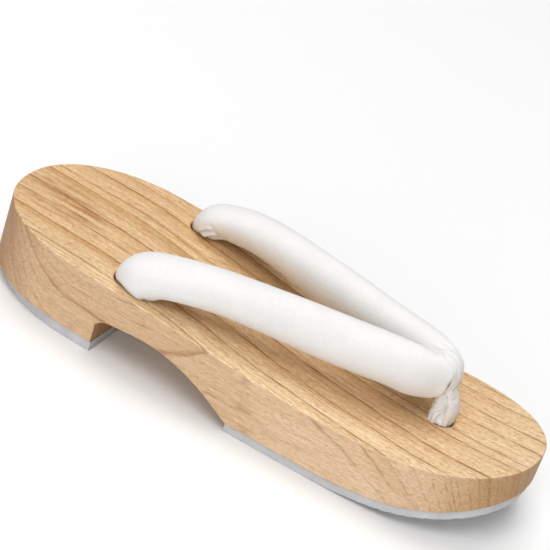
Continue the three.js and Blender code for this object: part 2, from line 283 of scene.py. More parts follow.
# Darker fibres are browner: how strongly red, green and blue follow
FIBRE_HUES = (0.8, 1.2, 1.75)
# Fibres and pores are weaker on the sides
FIBRE_SIDES = 0.66
PORES, PORE_SIZES = ((0.58, 0.0), (0.72, 0.65)), (2.8, 0.7, 0.7)
WOOD_ROUGHNESS = ((0.2, 0.5), (0.8, 0.68))
# Strength and depth of the fine relief
GRAIN_BUMP, PORE_BUMP = (0.35, 0.12), (0.4, 0.15)

# Rubber: mottled, with specks
RUBBER_TONES = ((0.3, linear(190, 190, 192)), (0.7, linear(206, 206, 208)))
RUBBER_SPECK, SPECK_SHARE = linear(164, 164, 166), ((0.6, 0.0), (0.75, 0.3))
RUBBER_ROUGHNESS = ((0.3, 0.55), (0.7, 0.72))
SPECK_BUMP = 0.3, 0.12
MOTTLE_SIZES, SPECK_SIZES = (7, 7, 7), (0.6, 0.6, 0.6)

# Fabric: woven and finely crinkled
FABRIC_TONES = ((0.3, linear(231, 230, 229)), (0.7, linear(236, 235, 234)))
# The crinkles' hollows are painted darker and warmer: painted shade
FABRIC_HOLLOW_SHADE, HOLLOW_SHADE_SHARE = linear(210, 206, 201), ((0.35, 0.14), (0.6, 0.0))
FABRIC_ROUGHNESS = ((0.3, 0.78), (0.7, 0.92))
THREAD_BUMP, CREPE_BUMP = (0.12, 0.08), (0.45, 0.28)
THREAD_PITCH, CREPE_SIZES, CLOUD_SIZES = 0.55, (0.9, 2.2, 1.6), (14, 14, 14)

# Floor
FLOOR_TONES = ((0.3, linear(245, 245, 245)), (0.7, linear(248, 248, 248)))
FLOOR_SIZES = (900, 900, 900)

# Camera of the photograph: where it looks, from which side and how far off
CAMERA_TARGET = (-20.284, 44.236, 20.0)
CAMERA_AZIMUTH, CAMERA_ELEVATION, CAMERA_ROLL = 19.098, 30.689, 19.306
CAMERA_DISTANCE, CAMERA_LENS, SENSOR = 917.0, 144.0, 36.0

# Stage in metres: how far the camera sees, the floor's reach, the light of the sky and the lamps
CAMERA_CLIP = 0.05, 50
FLOOR_REACH, SKY, WHITE = 6.0, 0.2, (1.0, 1.0, 1.0, 1.0)
# Lamps: name, place, width and power in watts
LAMPS = (
    ("key", (-0.4, 0.65, 2.5), 1.9, 36.5),
    ("over", (0.2, -1.1, 2.2), 1.7, 28.0),
    ("fill", (0.35, -2.7, 1.0), 1.7, 22.5),
)
LAMP_TARGET = (0, 0, 0.02)


def smoothstep(low, high, value):
    t = np.clip((value - low) / (high - low), 0, 1)
    return t * t * (3 - 2 * t)


def bell(value, middle, reach):
    return np.exp(-(((value - middle) / reach) ** 2))


def half_width(x, side=0.0, toe=0.0, heel=0.0):
    """Half the width of the board, or of a pad set in from its edge, at a place along its length."""
    belly = WIDTH / 2 - side - (x - WIDEST_X) ** 2 / (2 * SIDE_RADIUS)
    into_toe = (x - (LENGTH / 2 - toe - TOE_ROUND)) / TOE_ROUND
    into_heel = (HEEL_ROUND + heel - LENGTH / 2 - x) / HEEL_ROUND
    into_end = np.clip(np.maximum(into_toe, into_heel), 0, 1)
    return belly * (1 - into_end**ROUND_POWER) ** (1 / ROUND_POWER)


def through(rows, at, repeat_ends):
    """A smooth curve through a table's rows, read at places counted in rows."""
    rows = np.asarray(rows, float)
    first, last = 2 * rows[0] - rows[1], 2 * rows[-1] - rows[-2]
    if repeat_ends:
        first, last = rows[0], rows[-1]
    table = np.vstack([first, rows, last])
    start = np.clip(np.floor(at).astype(int), 0, len(rows) - 2)
    t = (at - start)[:, None]
    a, b, c, d = (table[start + k] for k in range(4))
    return 0.5 * (2 * b + (c - a) * t + (2 * a - 5 * b + 4 * c - d) * t**2 + (3 * b - a - 3 * c + d) * t**3)


def height_line(rows):
    path = through(rows, np.linspace(0, len(rows) - 1, LINE_STEPS), True)
    path = path[np.argsort(path[:, 0])]
    return lambda x: np.interp(x, path[:, 0], path[:, 1])


walking = height_line(WALKING_LINE)
arch = height_line(((BREAST_X, BREAST_TOP),) + ARCH_LINE)


def rocker(x, rise):
    """The forefoot's underside, or a line that lies that far above it."""
    beyond = np.clip(x - ROCKER_X, 0, None)
    return ROCKER_RADIUS - np.sqrt((ROCKER_RADIUS - rise) ** 2 - beyond**2)


def board_underside(x):
    return np.where(x < FOREFOOT_PAD_BACK, arch(x), rocker(x, FOREFOOT_PAD_THICK + GAP))


def weld(mesh):
    work = bmesh.new()
    work.from_mesh(mesh)
    bmesh.ops.remove_doubles(work, verts=work.verts, dist=WELD_GAP * MM)
    bmesh.ops.recalc_face_normals(work, faces=work.faces)
    work.to_mesh(mesh)
    work.free()


class Skin:
    """Grids of points, in millimetres, that are stitched into one mesh where they share points."""

    def __init__(self):
        self.points, self.faces = [], []

    def grid(self, points, wrap=False):
        rows, columns = points.shape[:2]
        first = len(self.points)
        self.points.extend(points.reshape(-1, 3))
        for row in range(rows - 1):
            for column in range(columns if wrap else columns - 1):
                beside = (column + 1) % columns
                a, b = first + row * columns, first + (row + 1) * columns
                self.faces.append((a + column, a + beside, b + beside, b + column))

    def fan(self, rim):
        first = len(self.points)
        self.points.append(rim.mean(0))
        self.points.extend(rim)
        for step in range(len(rim)):
            self.faces.append((first, first + 1 + step, first + 1 + (step + 1) % len(rim)))

    def tube(self, rings):
        """A tube through rings of points, closed at both ends."""
        self.grid(rings, wrap=True)
        self.fan(rings[0])
        self.fan(rings[-1])

    def make(self, name, sharp_angle=None):
        mesh = bpy.data.meshes.new(name)
        mesh.from_pydata([Vector(p) * MM for p in self.points], [], self.faces)
        weld(mesh)
        mesh.shade_smooth()
        if sharp_angle:
            mesh.set_sharp_from_angle(angle=math.radians(sharp_angle))
        piece = bpy.data.objects.new(name, mesh)
        bpy.context.scene.collection.objects.link(piece)
        return piece


def take_shape(piece):
    """Puts the modifiers' result into the mesh."""
    bpy.context.view_layer.update()
    seen = piece.evaluated_get(bpy.context.evaluated_depsgraph_get())
    mesh = bpy.data.meshes.new_from_object(seen)
    piece.modifiers.clear()
    piece.data = mesh


def mitres(x, y):
    """Outward directions along the left side of an outline whose right side mirrors it."""
    points = np.stack([x, y], 1)
    mirror = points * (1, -1)
    before = np.vstack([mirror[0] if y[0] > ON_AXIS else mirror[1], points[:-1]])
    after = np.vstack([points[1:], mirror[-1] if y[-1] > ON_AXIS else mirror[-2]])
    normals = []
    for edge in (points - before, after - points):
        edge = edge / np.linalg.norm(edge, axis=1, keepdims=True)
        normals.append(np.stack([edge[:, 1], -edge[:, 0]], 1))
    one, two = normals
    return (one + two) / (1 + (one * two).sum(1, keepdims=True))


def rings_of(x, y, outward, insets, heights):
    """Points of an outline's left side, set in and raised ring by ring."""
    flat = np.stack([x, y], 1)[None] - outward[None] * insets[:, :, None]
    return np.dstack([flat[..., 0], np.maximum(flat[..., 1], 0), heights])


def mirrored(points):
    return points * np.array((1, -1, 1))


def across(left, columns):
    """Rows of points from the left side straight over to the right side."""
    share = np.linspace(0, 1, columns + 1)[:, None]
    return left[..., None, :] * (1 - share) + mirrored(left)[..., None, :] * share


def arc(radius, steps):
    """Inset and drop along a rounded arris."""
    angle = np.linspace(0, math.pi / 2, steps)
    return radius * (1 - np.sin(angle)), radius * (1 - np.cos(angle))


def end_spaced(front, back, steps, *marks):
    """Places from front to back, closer together towards both ends, with the marks among them."""
    middle, reach = (front + back) / 2, (front - back) / 2
    x = middle + reach * np.cos(np.linspace(0, math.pi, steps))
    return np.unique(np.concatenate([x, marks]))[::-1]


def board_rings(x, y, outward, behind):
    """Rings of the board's left side from the walking surface down, and which of them make the breast."""
    low = np.where(behind, HEEL_PAD_THICK + GAP, board_underside(x))
    inset, drop = arc(TOP_ARRIS, TOP_ARRIS_STEPS)
    ease = LOW_ARRIS * smoothstep(0, LOW_ARRIS_RUN, abs(x - BREAST_X))
    low_inset, low_drop = arc(1.0, LOW_ARRIS_STEPS)
    insets = [np.full(len(x), i) for i in inset]
    heights = [walking(x - outward[:, 0] * i) - d for i, d in zip(inset, drop)]
    foot = low + ease
    knee = np.where(behind, BREAST_TOP, foot)
    for start, end, steps in ((heights[-1], knee, WALL_STEPS), (knee, foot, BREAST_STEPS)):
        for share in np.linspace(0, 1, steps + 1)[1:]:
            insets.append(np.zeros(len(x)))
            heights.append(start + (end - start) * share)
    breast_rows = slice(len(insets) - BREAST_STEPS - 1, len(insets))
    for i, d in zip(low_inset[::-1][1:], low_drop[::-1][1:]):
        place = x - outward[:, 0] * i * ease
        base = np.where(behind, HEEL_PAD_THICK + GAP, board_underside(place))
        insets.append(i * ease)
        heights.append(base + d * ease)
    return rings_of(x, y, outward, np.array(insets), np.array(heights)), breast_rows


def make_board():
    root = np.linspace(BREAST_X, ARCH_LINE[1][0], BREAST_ROOT_STEPS)
    x = end_spaced(LENGTH / 2, -LENGTH / 2, BOARD_STEPS, FOREFOOT_PAD_BACK, *root)
    y = half_width(x)
    outward = mitres(x, y)
    step = int(np.argmin(abs(x - BREAST_X)))
    twice = np.insert(np.arange(len(x)), step, step)
    behind = np.arange(len(twice)) > step
    rings, breast_rows = board_rings(x[twice], y[twice], outward[twice], behind)

    skin = Skin()
    for part in (rings[:, : step + 1], rings[:, step + 1 :]):
        skin.grid(part)
        skin.grid(mirrored(part))
        skin.grid(across(part[-1], BOARD_COLUMNS))
    skin.grid(across(rings[0], BOARD_COLUMNS))
    skin.grid(across(rings[breast_rows, step + 1], BOARD_COLUMNS))
    board = skin.make("base_board_wood")

    for hole in (REAR_HOLE, {**REAR_HOLE, "y": -REAR_HOLE["y"]}, TOE_HOLE):
        cutter = make_cutter(hole)
        cut = board.modifiers.new("hole", "BOOLEAN")
        cut.operation = "DIFFERENCE"
        cut.solver = "EXACT"
        cut.object = cutter
        take_shape(board)
        bpy.data.objects.remove(cutter)
    weld(board.data)
    board.data.shade_smooth()
    board.data.set_sharp_from_angle(angle=math.radians(WOOD_SHARP))
    even = board.modifiers.new("normals", "WEIGHTED_NORMAL")
    even.keep_sharp = True
    take_shape(board)
    return board


def make_cutter(hole):
    """A drill with a flared collar, which eases the hole's rim."""
    turn = np.linspace(0, 2 * math.pi, HOLE_FACETS, endpoint=False)
    slope = math.tan(math.radians(-hole["slant"]))
    longer = 1 / math.cos(math.radians(hole["slant"]))
    top = walking(hole["x"])
    rim = np.stack([longer * np.cos(turn), np.sin(turn), 0 * turn], -1)
    rings = []
    for height, wider in RIM_PROFILE:
        middle = np.array((hole["x"] + (top + height - hole["z"]) * slope, hole["y"], top + height))
        rings.append(middle + rim * (hole["radius"] + wider))
    skin = Skin()
    skin.tube(np.array(rings))
    return skin.make("cutter")


def tread(x, y):
    """How far the sole's wavy grooves go up at a place. Only near the toe do they run out to the rim."""
    phase = (x + TREAD_WAVE * np.cos(2 * math.pi * y / TREAD_WAVELENGTH)) / TREAD_PITCH
    away = abs(phase - np.round(phase)) * TREAD_PITCH
    worn = TREAD_OPEN_DEPTH + TREAD_WEAR * np.sin(WEAR_ALONG * x) * np.cos(WEAR_ACROSS * y)
    inside = smoothstep(*TREAD_RIM_FADE, half_width(x) - abs(y))
    kept = np.maximum(inside, worn * smoothstep(*TREAD_OPENS, x))
    for straight_end in (BREAST_X, FOREFOOT_PAD_BACK):
        kept = kept * smoothstep(*TREAD_END_FADE, abs(x - straight_end))
    return kept * TREAD_DEPTH * (1 - smoothstep(*TREAD_GROOVE, away))


def make_pad(name, x, inset, top, bottom):
    y = half_width(x, **inset)
    outward = mitres(x, y)
    edge, drop = arc(PAD_ARRIS, PAD_ARRIS_STEPS)
    wall = np.linspace(0, 1, PAD_WALL_STEPS + 2)[1:-1]
    insets = np.concatenate([edge, 0 * wall, edge[::-1]])[:, None]
    share = np.concatenate([0 * edge, wall, 0 * edge + 1])[:, None]
    lift = np.concatenate([-drop, PAD_ARRIS * (2 * wall - 1), drop[::-1]])[:, None]
    places = x[None] - outward[None, :, 0] * insets
    sides = y[None] - outward[None, :, 1] * insets
    under = bottom(places) + tread(places, sides)
    heights = top(places) * (1 - share) + under * share + lift
    rings = rings_of(x, y, outward, np.repeat(insets, len(x), 1), heights)

    skin = Skin()
    skin.grid(rings)
    skin.grid(mirrored(rings))
    for left in (rings[:, 0], rings[:, -1], rings[0]):
        skin.grid(across(left, PAD_COLUMNS))
    sole = across(rings[-1], PAD_COLUMNS)
    sole[..., 2] = bottom(sole[..., 0]) + tread(sole[..., 0], sole[..., 1])
    skin.grid(sole)
    return skin.make(name, sharp_angle=RUBBER_SHARP)


def tube_points(rows, at, facets, side):
    x, y, z, wide, high, pitch, lean = through(rows, at, False).T[:, :, None]
    turn = np.linspace(0, 2 * math.pi, facets, endpoint=False)[None]
    beside, above = wide * np.cos(turn), high * np.sin(turn)
    tilt, rise = np.radians(lean), np.radians(pitch)
    outward = beside * np.cos(tilt) - above * np.sin(tilt)
    upward = beside * np.sin(tilt) + above * np.cos(tilt)
    return np.stack([x - upward * np.sin(rise), side * (y + outward), z + upward * np.cos(rise)], -1)


def even_places(rows, step):
    """Places along a table of sections, an even distance apart, and that distance run from its start."""
    dense = np.linspace(0, len(rows) - 1, PATH_STEPS)
    path = through(rows, dense, False)[:, :3]
    run = np.concatenate([[0], np.cumsum(np.linalg.norm(np.diff(path, axis=0), axis=1))])
    goal = np.linspace(0, run[-1], int(run[-1] / step))
    return np.interp(goal, run, dense), goal


def grid_normals(points):
    along = np.gradient(points, axis=0)
    around = np.roll(points, -1, 1) - np.roll(points, 1, 1)
    normal = np.cross(along, around)
    normal /= np.linalg.norm(normal, axis=-1, keepdims=True) + NEARLY_ZERO
    middle = points.mean(1, keepdims=True)
    return normal * np.sign(((points - middle) * normal).sum((0, 1, 2)))


def round_arm(degrees, start):
    """The shorter way round an arm from one direction to another, in millimetres."""
    return ((degrees - start + 180) % 360 - 180) * ARM_GIRTH / 360


def crease_relief(run, degrees, creases):
    """Soft troughs with a slight ridge on both sides, on an arm unrolled to a plane."""
    total = np.zeros(np.broadcast(run, degrees).shape)
    for (run_from, degrees_from), (run_to, degrees_to), half, depth in creases:
        u, v = run - run_from, round_arm(degrees, degrees_from)
        du, dv = run_to - run_from, round_arm(degrees_to, degrees_from)
        share = np.clip((u * du + v * dv) / (du**2 + dv**2), 0, 1)
        away = np.hypot(u - share * du, v - share * dv)
        fade = np.sin(math.pi * (CREASE_END + (1 - 2 * CREASE_END) * share)) ** CREASE_FADE
        ridge = RIDGE_HEIGHT * bell(away, RIDGE_AWAY * half, RIDGE_HALF * half)
        total += depth * fade * (ridge - bell(away, 0, half))
    return total


def arm_relief(run, degrees, side, creases, lumps):
    """How far an arm's skin stands out from its sections."""
    turn = np.radians(degrees)
    relief = crease_relief(run, degrees, creases)
    twist = np.sin(run / RIPPLE_RUN + RIPPLE_SKEW * np.sin(turn + side))
    relief += RIPPLE * twist * np.sin(turn * 2 + run / RIPPLE_SPIRAL)
    relief += SWELL * np.sin(run / SWELL_RUN + 2 * turn + SWELL_SKEW * side)
    seam = bell(round_arm(degrees, SEAM_DEGREES), 0, SEAM_HALF)
    relief -= SEAM_DEPTH * seam * smoothstep(*SEAM_FROM, run)

    relief = np.where(run < INWARD_BEFORE, np.minimum(relief, 0), relief)
    relief *= np.where(run < HOLE_BEFORE, HOLE_SHARE, 1)
    relief *= np.maximum(smoothstep(*OUTWARD_FADE, run), relief < 0)
    for lump_run, lump_degrees, reach_along, reach_round, height in lumps:
        lump = bell(run, lump_run, reach_along) * bell(round_arm(degrees, lump_degrees), 0, reach_round)
        relief += height * lump
    rear = bell(degrees, MOUTH_REAR, MOUTH_REAR_REACH)
    relief += MOUTH_FILL * (1 - rear) * bell(run, MOUTH_FILL_AT, MOUTH_FILL_REACH)
    return relief


def band_breadth(ahead):
    """Half the breadth of the toe loop's band, from behind the joint at -1 to its front at 1."""
    return RING_BROAD_BACK + (RING_BROAD_FRONT - RING_BROAD_BACK) * smoothstep(*BROAD_AHEAD, ahead)


def band_thickness(upward):
    """Half the thickness of the toe loop's band, which lies flatter on top of the joint than in front."""
    return RING_THICK - RING_THINNER * smoothstep(*THINNER_UPWARD, upward)


def band_stretch(ahead, upward):
    """How much further out the toe loop's band goes at its squarer upper front."""
    corner = smoothstep(*SQUARE_CORNER, ahead) * smoothstep(*SQUARE_CORNER, upward)
    power = 2 + (RING_SQUARE - 2) * corner
    return (abs(ahead) ** power + abs(upward) ** power) ** (-1 / power)


def under_band(points, side):
    """Fits an arm's end to the toe loop's band: in under it, full beside it, aside where it is behind."""
    x, y, z = points[..., 0], points[..., 1], points[..., 2]
    off = abs(y)
    dx, dz = (x - RING_X) / RING_LONG, (z - RING_Z) / RING_TALL
    reach = np.hypot(dx, dz) + NEARLY_ZERO
    ahead, upward = dx / reach, dz / reach
    broad, thick = band_breadth(ahead), band_thickness(upward)
    behind = smoothstep(*ASIDE_BEHIND, -ahead)

    lens = thick * np.clip(1 - (off / broad) ** 2, 0, 1) ** (RING_LENS / 2)
    slit = BAND_CLEAR + BAND_SLIT * smoothstep(*SLIT_DOWNWARD, -upward) * smoothstep(*SLIT_AHEAD, ahead)
    rise = RING_THICK - thick - lens - slit + ARM_FLARE * np.clip(off - broad, 0, None)
    limit = band_stretch(ahead, upward) * (1 + rise / RING_TALL)
    beside = bell(off, broad, SWELL_BESIDE) * smoothstep(*SWELL_AHEAD, ahead)
    full = np.minimum(limit, BAND_SWELL[side]) / reach
    swell = 1 + beside * smoothstep(*SWELL_OUTSIDE, reach) * (np.clip(full, 1, None) - 1)
    scale = np.where(reach > limit, 1 + (1 - behind) * (limit / reach - 1), swell)

    around = (RING_THICK + BAND_CLEAR) / RING_TALL
    inside = np.clip(1 - ((reach - 1) / around) ** 2, 0, 1)
    off = np.maximum(off, behind * (broad + ASIDE_CLEAR) * np.sqrt(inside))
    return np.stack([RING_X + (x - RING_X) * scale, side * off, RING_Z + (z - RING_Z) * scale], -1)


def make_arm(skin, side, creases, lumps):
    at, run = even_places(ARM_SECTIONS, ARM_STEP)
    points = tube_points(ARM_SECTIONS, at, ARM_FACETS, side)
    run = (run - np.interp(MOUTH_ROW, at, run))[:, None]
    degrees = np.linspace(0, 360, ARM_FACETS, endpoint=False)[None]
    relief = arm_relief(run, degrees, side, creases, lumps)
    points = points + grid_normals(points) * relief[..., None]

    over = (points[..., 1] * side - ARM_APART) / ARM_SOFTNESS
    points[..., 1] = side * (ARM_APART + ARM_SOFTNESS * np.logaddexp(0, over))
    joint = (at > JOINT_ROW)[:, None, None]
    points = np.where(joint, under_band(points, side), points)
    from_hole = np.hypot(points[..., 0] - REAR_HOLE["x"], points[..., 1] * side - REAR_HOLE["y"])
    seated = (at > MOUTH_ROW)[:, None] & (from_hole > REAR_HOLE["radius"] + ARM_RIM)
    floor = walking(points[..., 0]) + ARM_OVER_BOARD
    points[..., 2] = np.where(seated, np.maximum(points[..., 2], floor), points[..., 2])
    skin.tube(points)


def make_straps():
    skin = Skin()
    make_arm(skin, 1, FAR_CREASES, FAR_LUMPS)
    make_arm(skin, -1, NEAR_CREASES, NEAR_LUMPS)
    return skin.make("strap_upper_padded")


def band_points():
    along = np.linspace(0, 2 * math.pi, BAND_STEPS, endpoint=False)[:, None]
    around = np.linspace(0, 2 * math.pi, BAND_FACETS, endpoint=False)[None]
    ahead, upward = np.cos(along), np.sin(along)
    stretch = band_stretch(ahead, upward)
    sag = RING_SAG * smoothstep(*SAG_BEHIND, -ahead) * smoothstep(*SAG_UPWARD, upward)
    thick = band_thickness(upward)
    out = RING_THICK - thick + thick * np.sign(np.cos(around)) * abs(np.cos(around)) ** RING_LENS
    x = RING_X + (RING_LONG + out) * ahead * stretch
    y = -band_breadth(ahead) * np.sin(around)
    z = RING_Z + (RING_TALL + out) * upward * stretch - sag
    return np.stack([x, y, z], -1)


def make_toe_loop():
    skin = Skin()
    band = band_points()
    skin.grid(np.concatenate([band, band[:1]]), wrap=True)
    for leg in (FRONT_LEG, REAR_LEG):
        at, _ = even_places(leg, LEG_STEP)
        skin.tube(tube_points(leg, at, LEG_FACETS, 1))
    loop = skin.make("toe_loop_fabric")
    whole = loop.modifiers.new("skin", "REMESH")
    whole.mode = "VOXEL"
    whole.voxel_size = LOOP_VOXEL * MM
    relax = loop.modifiers.new("relax", "SMOOTH")
    relax.factor, relax.iterations = LOOP_RELAX, LOOP_RELAX_TIMES
    take_shape(loop)
    fold_loop(loop.data)
    loop.data.shade_smooth()
    return loop


def away_from(line, x, z):
    """Distance to a line of points in the middle plane."""
    nearest = np.full(x.shape, np.inf)
    for (x0, z0), (x1, z1) in zip(line, line[1:]):
        dx, dz = x1 - x0, z1 - z0
        share = np.clip(((x - x0) * dx + (z - z0) * dz) / (dx**2 + dz**2), 0, 1)
        nearest = np.minimum(nearest, np.hypot(x - x0 - share * dx, z - z0 - share * dz))
    return nearest


def loop_relief(x, y, z):
    """Folds of the toe loop: gathers at the hole, wrinkles on the bulb, a pinch and the band's crinkles."""
    mouth = (1 - smoothstep(*GATHER_TOP, z)) * smoothstep(*GATHER_FOOT, z)
    relief = GATHER_DEPTH * mouth * np.sin(GATHERS * np.arctan2(y, x - POST_X) + GATHER_START)
    bulb = (1 - smoothstep(*POST_TOP, z)) * smoothstep(*WRINKLE_BEHIND, x)
    fan = np.arctan2(z - WRINKLE_Z, x - WRINKLE_X)
    relief += WRINKLE_DEPTH * bulb * np.sin(WRINKLES * fan + WRINKLE_WANDER * np.sin(y))
    pinch = bell(z, PINCH_Z + PINCH_WAVE * np.sin(y / PINCH_WAVE_RUN), PINCH_HALF)
    relief -= PINCH_DEPTH * smoothstep(*PINCH_FRONT, x) * pinch
    crinkle = np.sin(CRINKLE_TURN * y + CRINKLE_WANDER * np.sin(z / CRINKLE_WANDER_RUN))
    crinkle = crinkle * np.sin(z / CRINKLE_UP + y / CRINKLE_ASIDE)
    return relief + CRINKLE_DEPTH * smoothstep(*CRINKLE_FROM, z) * crinkle


def fold_loop(mesh):
    """Gives the toe loop its folds and the groove between its legs, and rests it on the board."""
    count = len(mesh.vertices)
    points, normals = np.zeros(count * 3), np.zeros(count * 3)
    mesh.vertices.foreach_get("co", points)
    mesh.vertices.foreach_get("normal", normals)
    points, normals = points.reshape(-1, 3) / MM, normals.reshape(-1, 3)
    x, y, z = points.T
    groove = bell(away_from(LEG_GROOVE, x, z), 0, GROOVE_HALF) * smoothstep(*GROOVE_OFF, abs(y))
    points = points + normals * loop_relief(x, y, z)[:, None]
    points[:, 1] -= np.sign(y) * GROOVE_DEPTH * groove
    floor = walking(points[:, 0]) + LOOP_OVER_BOARD
    over_board = np.hypot(points[:, 0] - TOE_HOLE["x"], points[:, 1]) > TOE_HOLE["radius"] - LOOP_RIM
    seated = over_board & (points[:, 2] > LOOP_SEATED_FROM)
    points[:, 2] = np.where(seated, np.maximum(points[:, 2], floor), points[:, 2])
    mesh.vertices.foreach_set("co", (points * MM).ravel())
    mesh.update()


class Finish:
    """A material and short ways to add nodes to it. Lengths inside it are millimetres."""

    def __init__(self, name):
        self.material = bpy.data.materials.new(name)
        self.material.use_nodes = True
        self.nodes = self.material.node_tree.nodes
        self.links = self.material.node_tree.links
        self.nodes.clear()
        self.shader = self.nodes.new("ShaderNodeBsdfPrincipled")
        output = self.nodes.new("ShaderNodeOutputMaterial")
        self.links.new(self.shader.outputs["BSDF"], output.inputs["Surface"])
        place = self.nodes.new("ShaderNodeTexCoord").outputs["Object"]
        self.place = self.vector("MULTIPLY", place, (1 / MM,) * 3)

    def put(self, socket, value):
        if isinstance(value, bpy.types.NodeSocket):
            self.links.new(value, socket)
        else:
            socket.default_value = value

    def set(self, **values):
        for name, value in values.items():
            self.put(self.shader.inputs[name.replace("_", " ")], value)

    def vector(self, operation, one, two):
        node = self.nodes.new("ShaderNodeVectorMath")
        node.operation = operation
        self.put(node.inputs[0], one)
        self.put(node.inputs[1], two)
        return node.outputs["Vector"]

    def math(self, operation, one, two=0.0):
        node = self.nodes.new("ShaderNodeMath")
        node.operation = operation
        self.put(node.inputs[0], one)
        self.put(node.inputs[1], two)
        return node.outputs["Value"]

    def plus(self, one, two):
        return self.math("ADD", one, two)

    def minus(self, one, two):
        return self.math("SUBTRACT", one, two)

    def times(self, one, two):
        return self.math("MULTIPLY", one, two)

    def parts(self, vector):
        node = self.nodes.new("ShaderNodeSeparateXYZ")
        self.put(node.inputs[0], vector)
        return node.outputs

    def together(self, x, y, z):
        node = self.nodes.new("ShaderNodeCombineXYZ")
        for socket, value in zip(node.inputs, (x, y, z)):
            self.put(socket, value)
        return node.outputs["Vector"]

    def noise(self, sizes, detail=2.0, rough=0.5):
        """Noise whose features are about that long in x, y and z."""
        node = self.nodes.new("ShaderNodeTexNoise")
        self.put(node.inputs["Vector"], self.vector("DIVIDE", self.place, sizes))
        node.inputs["Scale"].default_value = 1.0
        node.inputs["Detail"].default_value = detail
        node.inputs["Roughness"].default_value = rough
        return node.outputs["Fac"]

    def stray(self, reach, sizes, detail):
        """Noise that goes about as far below zero as above it."""
        return self.times(self.minus(self.noise(sizes, detail, rough=0.6), 0.5), reach)

    def ease(self, value, low, high):
        """Goes softly from 0 to 1 between two values."""
        node = self.nodes.new("ShaderNodeMapRange")
        node.interpolation_type = "SMOOTHSTEP"
        self.put(node.inputs["Value"], value)
        node.inputs["From Min"].default_value = low
        node.inputs["From Max"].default_value = high
        return node.outputs["Result"]

    def ramp(self, value, stops):
        node = self.nodes.new("ShaderNodeValToRGB")
        self.put(node.inputs["Fac"], value)
        elements = node.color_ramp.elements
        while len(elements) < len(stops):
            elements.new(1.0)
        for element, (position, colour) in zip(elements, stops):
            element.position = position
            element.color = (*colour, 1.0) if isinstance(colour, tuple) else (colour, colour, colour, 1.0)
        return node.outputs["Color"]

    def least(self, value, share):
        """Goes from that share at 0 to the whole at 1."""
        return self.ramp(value, ((0.0, share), (1.0, 1.0)))

    def mix(self, share, one, two):
        node = self.nodes.new("ShaderNodeMix")
        node.data_type = "RGBA"
        self.put(node.inputs["Factor"], share)
        for name, value in (("A", one), ("B", two)):
            socket = next(s for s in node.inputs if s.name == name and s.type == "RGBA")
            self.put(socket, (*value, 1.0) if isinstance(value, tuple) else value)
        return next(s for s in node.outputs if s.type == "RGBA")

    def bump(self, height, strength, distance, below=None):
        node = self.nodes.new("ShaderNodeBump")
        node.inputs["Strength"].default_value = strength
        node.inputs["Distance"].default_value = distance * MM
        self.put(node.inputs["Height"], height)
        if below:
            self.links.new(below, node.inputs["Normal"])
        return node.outputs["Normal"]


def ring_count(finish, across_board):
    """Counts the growth rings up to a place across the board."""
    node = finish.nodes.new("ShaderNodeFloatCurve")
    low, high = RING_LINES[0], RING_LINES[-1]
    curve = node.mapping.curves[0]
    last = len(RING_LINES) - 1
    while len(curve.points) < len(RING_LINES):
        curve.points.new(0.5, 0.5)
    for index, line in enumerate(RING_LINES):
        curve.points[index].location = ((line - low) / (high - low), index / last)
        curve.points[index].handle_type = "VECTOR"
    node.mapping.update()
    share = finish.math("DIVIDE", finish.minus(across_board, low), high - low)
    finish.put(node.inputs["Value"], share)
    return finish.times(node.outputs["Value"], last)


def ring_place(finish, x, y, z, on_top):
    """Where a place would lie across the heel if its growth ring were followed back there."""
    forward = finish.math("MAXIMUM", finish.minus(x, BEND_FROM), 0)
    slope = finish.plus(finish.times(forward, BEND_CURVE), BEND_SLOPE)
    place = finish.plus(y, finish.times(forward, slope))
    lean = finish.plus(finish.times(x, LEAN_ALONG), LEAN_MIDDLE)
    steeper = finish.times(finish.math("MAXIMUM", x, 0), LEAN_AHEAD)
    lean = finish.math("MINIMUM", finish.plus(lean, steeper), LEAN_MOST)
    place = finish.plus(place, finish.times(lean, finish.minus(z, LEAN_Z)))
    place = finish.plus(place, finish.stray(SWAY, SWAY_SIZES, detail=1.0))
    ragged = finish.stray(RAGGED, RAGGED_SIZES, detail=3.0)
    return finish.plus(place, finish.times(ragged, finish.least(on_top, RAGGED_SIDES)))


def ring_tone(finish, x, y, count, on_top):
    """Rings that darken towards the lines that end them. On the sides the lines are thinner and fainter."""
    phase = finish.math("FRACT", count)
    own = finish.nodes.new("ShaderNodeTexWhiteNoise")
    own.noise_dimensions = "1D"
    finish.put(own.inputs["W"], finish.math("FLOOR", count))
    body = finish.times(finish.ramp(phase, RING_BODY), finish.plus(own.outputs["Value"], BODY_LEAST))
    body = finish.times(body, finish.least(on_top, BODY_SIDES))
    tone = finish.mix(body, WOOD_PALE, WOOD_WARM)
    paler = finish.times(finish.ease(x, *PALE_TOE), PALE_TOE_SHARE)
    paler = finish.math("MAXIMUM", finish.ease(y, *PALE_RIGHT), paler)
    tone = finish.mix(finish.times(finish.times(paler, on_top), PALE_SHARE), tone, WOOD_LIGHT)

    line = finish.mix(on_top, finish.ramp(phase, SIDE_LINE), finish.ramp(phase, TOP_LINE))
    broken = finish.noise(LINE_BREAK_SIZES, detail=3.0, rough=0.65)
    line = finish.times(line, finish.ramp(broken, LINE_BREAKS))
    tone = finish.mix(finish.times(line, finish.least(on_top, LINE_SIDES)), tone, WOOD_DEEP)
    faint = finish.ramp(finish.math("FRACT", finish.times(count, FAINT_PER_RING)), FAINT_LINE)
    spread = finish.ramp(finish.noise(FAINT_SIZES), FAINT_SPREAD)
    return finish.mix(finish.times(faint, spread), tone, WOOD_BROWN)


